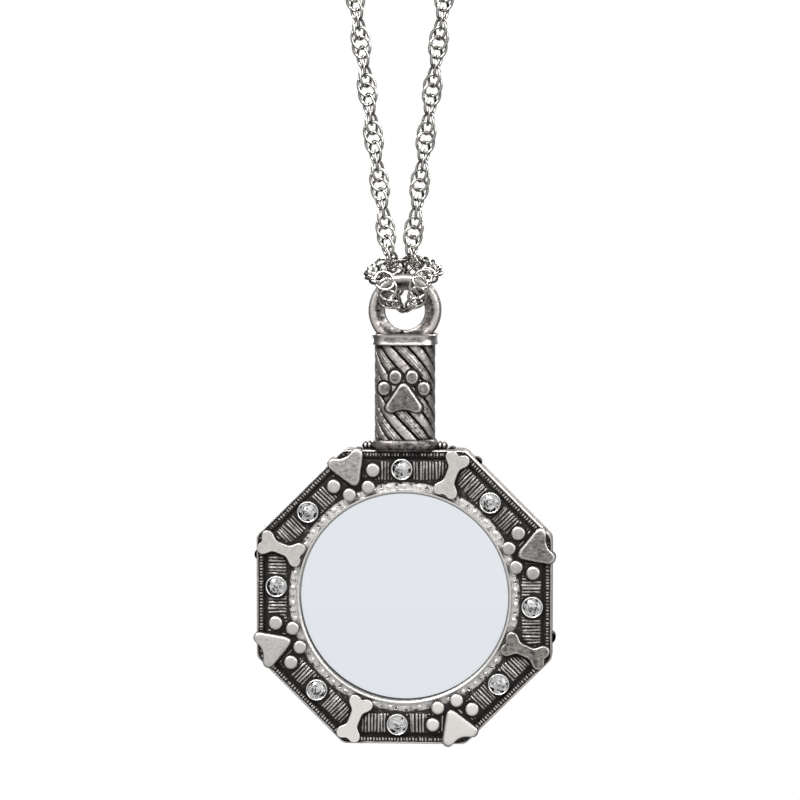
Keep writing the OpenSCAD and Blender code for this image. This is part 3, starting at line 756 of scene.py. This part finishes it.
# %% [markdown]
# ## Handle
# Twelve strands wind round the oval barrel, every other one with fine lines along it, and narrow
# black grooves part them. Twelve twisted bars would do, but one skin has no hidden faces. The
# collars have a rounded box plan: the upper one is a flat strip between two thin edges, and the
# lower one is full and round.
# %% Twisted barrel
STRAND_POINTS, BARREL_ROWS = 20, 72


def barrel():
    turn = np.linspace(0, 360, STRANDS * STRAND_POINTS, endpoint=False)
    z = np.linspace(-0.3, BARREL_TOP - BARREL_LOW + 0.3, BARREL_ROWS)
    share = (turn * STRANDS / 360) % 1
    strand = np.floor(turn * STRANDS / 360).astype(int)
    edge = np.minimum(share, 1 - share)
    groove = np.exp(-(edge / 0.075) ** 2)
    lines = np.where(strand % 2 == 0, 0.5 + 0.5 * np.cos(share * 8 * math.pi), 0) * (1 - groove)
    dip = 0.42 * groove + 0.14 * (2 * share - 1) ** 2 + 0.05 * lines
    wobble = rng.normal(0, 0.012, (BARREL_ROWS, len(turn)))
    angle = np.radians(turn[None] - TWIST * z[:, None] / (BARREL_TOP - BARREL_LOW))
    rows = np.stack([(BARREL_W / 2 + 0.05 - dip + wobble) * np.cos(angle),
                     (BARREL_DEPTH / 2 + 0.05 - dip + wobble) * np.sin(angle),
                     np.broadcast_to(BARREL_LOW + z[:, None], angle.shape)], -1)
    worn = np.clip(0.8 - 1.1 * groove - 0.3 * lines - 0.15 * (2 * share - 1) ** 2, 0, 1)
    return grid(rows, np.broadcast_to(worn, angle.shape))


cast("twisted_barrel", moved(barrel(), RING_AT), rough_pewter, sharp=70)

# %% Collars
COLLAR_STEPS, COLLAR_POWER = 96, 3.2
COLLAR_FRONT, RECESS_WORN = 2.9, 0.12


def box_plan(half):
    """An oval that is squared off by its power, where 2 would be a plain oval"""
    round_plan = circle(1.0, COLLAR_STEPS)
    return half * np.sign(round_plan) * np.abs(round_plan) ** (2 / COLLAR_POWER)


def collar(foot, rows, painted_side_light):
    """A collar from rows of (inset, height above its foot, worn), with its sides painted lighter as
    painted light
    """
    made = layers(rows, lambda inset: box_plan(COLLAR_HALF - inset))
    # Painted light: the collar's sides, where they turn away from the front, are made lighter
    on_side = (np.abs(made["points"][:, 0]) > COLLAR_FRONT) & (made["worn"] > RECESS_WORN)
    made["worn"][on_side] = np.maximum(made["worn"][on_side], painted_side_light)
    return moved(made, RING_AT + [0, 0, foot])


tall = COLLAR_TOP - BARREL_TOP
upper = collar(BARREL_TOP, (
    (COLLAR_END, 0.0, 0.1), (0.5, 0.0, 0.1), (0.1, 0.02, 0.6), (0.0, 0.1, 1.0), (0.0, 0.26, 1.0),
    (0.09, 0.42, 0.55), (0.1, 0.8, 0.5), (0.09, tall - 0.42, 0.55), (0.0, tall - 0.26, 1.0),
    (0.0, tall - 0.1, 1.0), (0.12, tall, 0.8), (0.8, tall, 0.3), (COLLAR_END, tall, 0.1)), 0.9)
tall = BARREL_LOW - COLLAR_LOW
lower = collar(COLLAR_LOW, (
    (COLLAR_END, 0.0, 0.0), (0.6, 0.0, 0.0), (0.25, 0.04, 0.1), (0.14, 0.2, 0.35),
    (0.22, 0.32, 0.2), (0.08, 0.5, 0.28), (0.0, 0.85, 0.3), (0.03, 1.2, 0.3), (0.1, 1.42, 0.3),
    (0.14, 1.52, 0.42), (0.22, tall - 0.12, 0.35), (0.42, tall, 0.2), (0.9, tall, 0.0),
    (COLLAR_END, tall, 0.0)), 0.25)
cast("upper_collar", upper, sharp=50)
cast("lower_collar", lower, sharp=50)

# %% [markdown]
# A paw lies on the strands of each face, in a black moat where the antiquing wasn't rubbed away.
# %% Paws on the handle
def barrel_face(x):
    """How far the barrel's surface lies from its middle plane"""
    return BARREL_DEPTH / 2 * math.sqrt(max(0, 1 - (2 * x / BARREL_W) ** 2))


flipped = [[-1, 0, 0], [0, -1, 0], [0, 0, 1]]
MOAT_WIDE, MOAT_LIFT, MOAT_SUNK = 0.28, 0.08, 0.25


def moat(outline):
    """A black band that lies on the strands round an outline"""
    middle = outline.mean(0)
    away = outline - middle
    wide = middle + away * (1 + MOAT_WIDE / np.linalg.norm(away, axis=1))[:, None]
    path = ((wide, -MOAT_SUNK), (wide, MOAT_LIFT), (outline, MOAT_LIFT), (outline, -MOAT_SUNK))
    rings = [np.column_stack([ring, [barrel_face(x) + lift for x in ring[:, 0]]]) for ring, lift in path]
    return grid(np.array(rings), 0.0)


handle_toes = toe_outlines(HANDLE_PAW_W, (0.56, -0.49, 0.18), (0.235, -0.78, 0.18))
handle_pad = pad_outline(HANDLE_PAW_W) * [1.08, 0.96]
handle_parts = [pad(handle_pad, 1.4, BARREL_DEPTH / 2 + 0.38, 0.36)]
handle_moats = [moat(handle_pad)]
for toe_round, stretch in zip(handle_toes, (1.1, 1.1, 1.12, 1.12)):
    outline = toe_round * [1, stretch]
    x = abs(outline.mean(0)[0])
    handle_parts.append(toe(outline, 0.8, barrel_face(x) + 0.36, 0.4))
    handle_moats.append(moat(outline))
handle_paw = moved(join(handle_parts), (0, HANDLE_PAW_Z, 0), flipped)
cast("handle_paws", faces_of(handle_paw, RING_AT), pad_pewter)
cast("handle_paw_moats", faces_of(moved(join(handle_moats), (0, HANDLE_PAW_Z, 0), flipped), RING_AT))

# %% [markdown]
# The small knobs beside the lower collar are ridged like a screw and rounded at the end. The bail
# ring is dished: a full round lip outside, then a face that slopes down to the hole, with a small
# slit at the bottom where the ring was closed.
# %% Side knobs and bail ring
KNOB_R, KNOB_PITCH, KNOB_LONG = 0.74, 0.62, 2.12
knob_rows = [(0.42, 0.0, 0.2)]
for i in range(3):
    base = KNOB_PITCH * i
    ridge = KNOB_R - 0.08 * (i == 2)
    knob_rows += [(0.5, base + 0.02, 0.1), (ridge, base + 0.16, 0.8), (ridge, base + 0.42, 0.8),
                  (0.5, base + 0.56, 0.1)]
knob_rows += [(0.34, KNOB_LONG - 0.17, 0.7), (0.02, KNOB_LONG, 0.9)]
knob = lathe(knob_rows, 24)
reach = KNOB_REACH - KNOB_LONG
knobs = [moved(knob, RING_AT + [side * reach, 0, KNOB_Z], [[0, 0, side], [side, 0, 0], [0, 1, 0]])
         for side in (1, -1)]
cast("side_knobs", join(knobs))

RING_ROWS = (
    (RING_HOLE, 0.0, 0.4), (RING_HOLE, 0.55, 0.6), (RING_HOLE + 0.08, RING_HOLE_HALF, 0.9),
    (RING_HOLE + 0.3, 0.8, 0.55), (3.6, 0.88, 0.4), (3.95, 0.98, 0.35), (4.15, 1.1, 0.35),
    (4.3, 1.25, 0.55), (4.5, 1.35, 0.8), (4.8, RING_HALF, 0.9), (5.1, 1.34, 0.9),
    (5.3, 1.16, 0.8), (5.43, 0.85, 0.6), (RING_R, 0.5, 0.45), (RING_R, 0.0, 0.4),
)
RING_STEPS, DISH_OUT = 240, 4.3
SLIT_OUT, SLIT_AT, SLIT_WIDE, SLIT_DEEP = 4.1, 263, 0.16, 0.35


def bail_ring():
    turn = full_turn(RING_STEPS)
    loop = list(RING_ROWS) + [(r, -level, worn) for r, level, worn in RING_ROWS[-2:0:-1]]
    uneven = sum(np.cos(k * turn + rng.uniform(0, 6)) * 0.012 for k in (3, 5, 8, 13))
    slit = np.exp(-((turn - math.radians(SLIT_AT)) * RING_HOLE / SLIT_WIDE) ** 2)
    rows, worn = [], []
    for r, level, wear in loop:
        depth = SLIT_DEEP * slit * (r < SLIT_OUT) * np.sign(level)
        levels = level * (1 + uneven * (r < DISH_OUT)) - depth
        rows.append(np.column_stack([circle(r, RING_STEPS), levels]))
        worn.append(wear * (1 - slit * (r < SLIT_OUT)))
    return grid(np.array(rows), np.array(worn), close_rows=True)


cast("bail_ring", moved(bail_ring(), RING_AT, TO_FRONT), rough_pewter, sharp=60)

# %% [markdown]
# ## Chain
# Slightly oval links, each turned 36 degrees about the chain from the last, make both strands look
# like a twisted ribbon, and each passes through the next two on either side. An array on a curve
# would be quick, but its twist can't be steered, so each link's plane is worked out here. The way
# is the tube's own: over the top, down each strand, round the bail ring in a lark's head, and
# across behind it. The two strands twist opposite ways.
# %% Way of the chain
HITCH_LEFT = np.array([
    [-2.5, 0, 8.9], [-2.3, 0.3, 8], [-1.9, 1, 7], [-1.5, 2.1, 6], [-1.3, 3, 4.9], [-1.25, 3.2, 3.7],
    [-1.25, 2.9, 2.5], [-1.25, 1.8, 1.3], [-1.3, 0, 0.75], [-1.65, -1.75, 0.7], [-2.3, -3.1, 1.35],
    [-2.5, -3.7, 2.4], [-2.3, -3.8, 3.5], [-2.6, -3.6, 4.5], [-3.5, -3.05, 5.05], [-4.5, -1.7, 5.15],
    [-4.9, 0, 5.3], [-4.5, 1.7, 5.7], [-3.4, 3.2, 6.4], [-1.9, 4.3, 7], [-0.6, 4.6, 7.1]])
HITCH_RIGHT = np.array([
    [0.9, 0, 8.9], [1.1, 0.3, 8], [1.3, 1.1, 7], [1.35, 2.2, 6], [1.25, 3, 4.9], [1.25, 3.2, 3.7],
    [1.25, 2.9, 2.5], [1.25, 1.8, 1.3], [1.3, 0, 0.75], [1.6, -1.8, 0.8], [2, -3.1, 1.5],
    [2.1, -3.7, 2.6], [2.2, -3.8, 3.7], [2.6, -3.6, 4.8], [3.4, -2.8, 5.3], [4.2, -1.5, 5.5],
    [4.4, 0, 5.6], [3.9, 1.8, 6], [2.8, 3.3, 6.5], [1.5, 4.3, 7], [0.6, 4.6, 7.1]])

lean = math.radians(LEAN)
half_run = LOOP_LENGTH / 2 - run_of(HITCH_LEFT)[-1]
arc_turn = math.pi / 2 + lean
loop_r = (FOOT_HALF_GAP + half_run * math.sin(lean)) / (math.cos(lean) + arc_turn * math.sin(lean))
strand_length = half_run - loop_r * arc_turn


def half_way(side, hitch):
    turn = np.linspace(FIRST_LINK / loop_r, arc_turn, 60)
    over = np.column_stack([side * loop_r * np.sin(turn), 0 * turn, loop_r * (np.cos(turn) - 1)])
    down = np.array([-side * math.sin(lean), 0, -math.cos(lean)])
    strand = over[-1] + np.linspace(0, strand_length, 200, endpoint=False)[1:, None] * down
    return np.vstack([over, strand, hitch + RING_AT])


def evenly(points, step):
    length = run_of(points)[-1]
    return spaced(points, int(round(length / step)) + 1), length


FINE, PASSES = 0.1, 60
way, _ = evenly(np.vstack([half_way(-1, HITCH_LEFT), half_way(1, HITCH_RIGHT)[::-1]]), FINE)
for _ in range(PASSES):
    way[1:-1] = (way[:-2] + 2 * way[1:-1] + way[2:]) / 4
way, way_length = evenly(way, FINE)
print(f"loop radius {loop_r:.2f} mm, strand {strand_length:.1f} mm, way {way_length:.1f} mm")

# %% [markdown]
# The links are wider than the tube that stands in for them. So at five places of the pendant's
# swing, the points of the way that lie too near the middle of the ring's bar are pushed straight
# away from it. They aren't spaced anew after that, as it would turn every link that follows.
# %% Clear of the ring's bar
BAR_R, BAR_CLEAR, SWINGS = 4.2, 2.88, (-20, -10, 0, 10, 20)
to_pivot = np.array([0, 0, BAR_R])
for swing in SWINGS:
    c, s = math.cos(math.radians(swing)), math.sin(math.radians(swing))
    swung = np.array([[1, 0, 0], [0, c, -s], [0, s, c]])
    local = (way - RING_AT - to_pivot) @ swung + to_pivot
    bar = BAR_R * local * [1, 0, 1] / np.linalg.norm(local[:, [0, 2]], axis=1)[:, None]
    off_bar = np.linalg.norm(local - bar, axis=1)[:, None]
    local = bar + (local - bar) * np.maximum(off_bar, BAR_CLEAR) / off_bar
    way = (local - to_pivot) @ swung.T + RING_AT + to_pivot
link_count = int(round(way_length / LINK_PITCH)) + 1
print("links:", link_count)

# %% [markdown]
# A side vector is carried along the way from each end, so that it never spins by itself, and each
# link's plane is turned from it. A phase grows over the first links, and puts the widest places of
# the ribbon where the photograph has them. Near the hitch the links are turned a little more or
# less, so that a whole link shows on the front of each column.
# %% One link and the sides of the way
def carried_sides(points):
    """Directions and side vectors along a way, starting with a side in the loop's own plane"""
    ahead = np.gradient(points, axis=0)
    ahead /= np.linalg.norm(ahead, axis=1)[:, None]
    side = np.cross([0, 1, 0], ahead[0])
    sides = []
    for a in ahead:
        side = side - a * (side @ a)
        side = side / np.linalg.norm(side)
        sides.append(side)
    return ahead, np.array(sides)


def one_link(sides=24, wire_sides=10):
    """An oval of round wire, long along the chain"""
    around_link, around_wire = np.meshgrid(full_turn(sides), full_turn(wire_sides), indexing="ij")
    c, s = np.cos(around_link), np.sin(around_link)
    outward = np.stack([c / LINK_LONG, s / LINK_WIDE], -1)
    outward /= np.linalg.norm(outward, axis=2)[:, :, None]
    reach = LINK_WIRE * np.cos(around_wire)
    return grid(np.stack([LINK_LONG * c + reach * outward[:, :, 0],
                          LINK_WIDE * s + reach * outward[:, :, 1],
                          LINK_WIRE * np.sin(around_wire)], -1), close_rows=True)


# %% Both halves of the chain
# Phases in degrees, and the links over which they grow
LEFT_PHASE, RIGHT_PHASE, PHASE_LINKS = 51.2, -57.7, 60
# Links before the middle of the hitch, and degrees of extra turn there
LEFT_EXTRA = ((5, -180), (7, -155), (9, -94), (10, -58), (15, 0))
RIGHT_EXTRA = ((1, 245), (5, 180), (8, 188), (9, 162), (10, 120), (11, 84), (16, 0))


def chain_half(points, count, sign, phase, extra):
    ahead, sides = carried_sides(points)
    link = one_link()
    links = []
    for i in range(count):
        at = min(int(round(i * (len(way) - 1) / (link_count - 1))), len(points) - 1)
        more = np.interp(count - i, *zip(*extra))
        turn = math.radians(sign * LINK_TURN * i + phase * min(i / PHASE_LINKS, 1) + more)
        along, side = ahead[at], sides[at]
        across = side * math.cos(turn) + np.cross(along, side) * math.sin(turn)
        links.append(moved(link, points[at], np.column_stack([along, across, np.cross(along, across)])))
    return join(links)


half_count = link_count // 2
left = chain_half(way, half_count, 1, LEFT_PHASE, LEFT_EXTRA)
right = chain_half(way[::-1], link_count - half_count, -1, RIGHT_PHASE, RIGHT_EXTRA)
make_piece("chain_left", left, chain_silver, "necklace", "chain_metal", "chain")
make_piece("chain_right", right, chain_silver, "necklace", "chain_metal", "chain")

# %% [markdown]
# The end rings and the clasp are the source's own solids, with the chain's plating. The clasp's
# edges are softened.
# %% End rings and clasp
CLASP_EDGE = 0.4
for name in ("end_ring_left", "end_ring_right", "clasp"):
    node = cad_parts[name]
    node.data.materials.clear()
    node.data.materials.append(chain_silver)
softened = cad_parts["clasp"].modifiers.new("softened", "BEVEL")
softened.width, softened.segments, softened.limit_method = CLASP_EDGE * MM, 3, "ANGLE"

# %% [markdown]
# ## Stage and light
# The ground is plain white: a floor that casts no light or shade, and a white surround that only
# the camera and the glass see.
# %% Floor
FLOOR_HALF, FLOOR_Z = 1.5, -0.47


def stage_plane(name, half, z, material):
    mesh = bpy.data.meshes.new(name)
    corners = [(-half, -half, z), (half, -half, z), (half, half, z), (-half, half, z)]
    mesh.from_pydata(corners, [], [(0, 1, 2, 3)])
    mesh.materials.append(material)
    made = bpy.data.objects.new(name, mesh)
    bpy.context.scene.collection.objects.link(made)
    return made


floor_white, tree = new_material("floor_white")
add(tree, "OutputMaterial", Surface=add(tree, "Emission", Color="#ffffff", Strength=1.0))
floor = stage_plane("floor", FLOOR_HALF, FLOOR_Z, floor_white)
floor.visible_glossy = floor.visible_diffuse = floor.visible_shadow = False

# %% [markdown]
# Metal mirrors the room. A photographed room could be wrapped round it, but a ramp from the front
# to the back is enough: bright in front, dark at the sides for the black edges, dimmer behind.
# %% Room
ROOM = ((0.0, 0.62), (0.2, 0.58), (0.32, 0.08), (0.6, 0.05), (0.75, 0.1), (0.88, 0.2), (1.0, 0.5))
world = bpy.data.worlds.new("studio")
bpy.context.scene.world = world
world.use_nodes = True
tree = world.node_tree
tree.nodes.clear()
split = add(tree, "SeparateXYZ", Vector=add(tree, "TexCoord").outputs["Generated"])
backward = add(tree, "MapRange", Value=split.outputs["Y"], From_Min=-1.0, From_Max=1.0)
room = add(tree, "ValToRGB", Fac=backward,
           stops=[(place, (light, light, light, 1)) for place, light in ROOM])
rays = add(tree, "LightPath")
straight = add(tree, "Math", {"operation": "LESS_THAN"}, _0=rays.outputs["Glossy Depth"], _1=0.5)
through = add(tree, "Math", {"operation": "MULTIPLY"}, _0=rays.outputs["Is Transmission Ray"], _1=straight)
seen = add(tree, "Math", {"operation": "MAXIMUM"}, _0=rays.outputs["Is Camera Ray"], _1=through)
lit = add(tree, "Background", Color=room, Strength=1.0)
surround = add(tree, "Background", Color="#ffffff", Strength=1.0)
both = add(tree, "MixShader", Fac=seen, _1=lit, _2=surround)
add(tree, "OutputWorld", Surface=both)

# %% [markdown]
# Five round soft boxes add the sheen: three in front and two behind, so that the back is lit too.
# The camera and the glass don't see them, or the lens would show them as white discs.
# %% Soft boxes
LIT_ABOVE = 0.02


def soft_box(name, azimuth, elevation, distance, size, power):
    """A lamp that faces the pendant, with its distance and size in metres and its power in watts"""
    made = bpy.data.objects.new(name, bpy.data.lights.new(name, "AREA"))
    made.data.shape, made.data.size, made.data.energy = "DISK", size, power
    made.visible_camera = made.visible_transmission = False
    bpy.context.scene.collection.objects.link(made)
    centre = FRAME_AT * MM + [0, 0, LIT_ABOVE]
    made.location = centre + distance * direction(azimuth, elevation)
    aim(made, centre)


soft_box("key", -35, 48, 0.7, 0.35, 5.0)
soft_box("fill", 55, 20, 0.8, 0.4, 2.5)
soft_box("front", 8, 38, 0.9, 0.25, 1.8)
soft_box("back_key", 145, 40, 0.7, 0.35, 3.0)
soft_box("back_fill", -160, 10, 0.8, 0.4, 2.5)
bpy.context.scene.view_settings.view_transform = "Standard"

# %% [markdown]
# ## Triangles
# %% Print the number of triangles
print("triangles in all:", sum(triangles.values()))
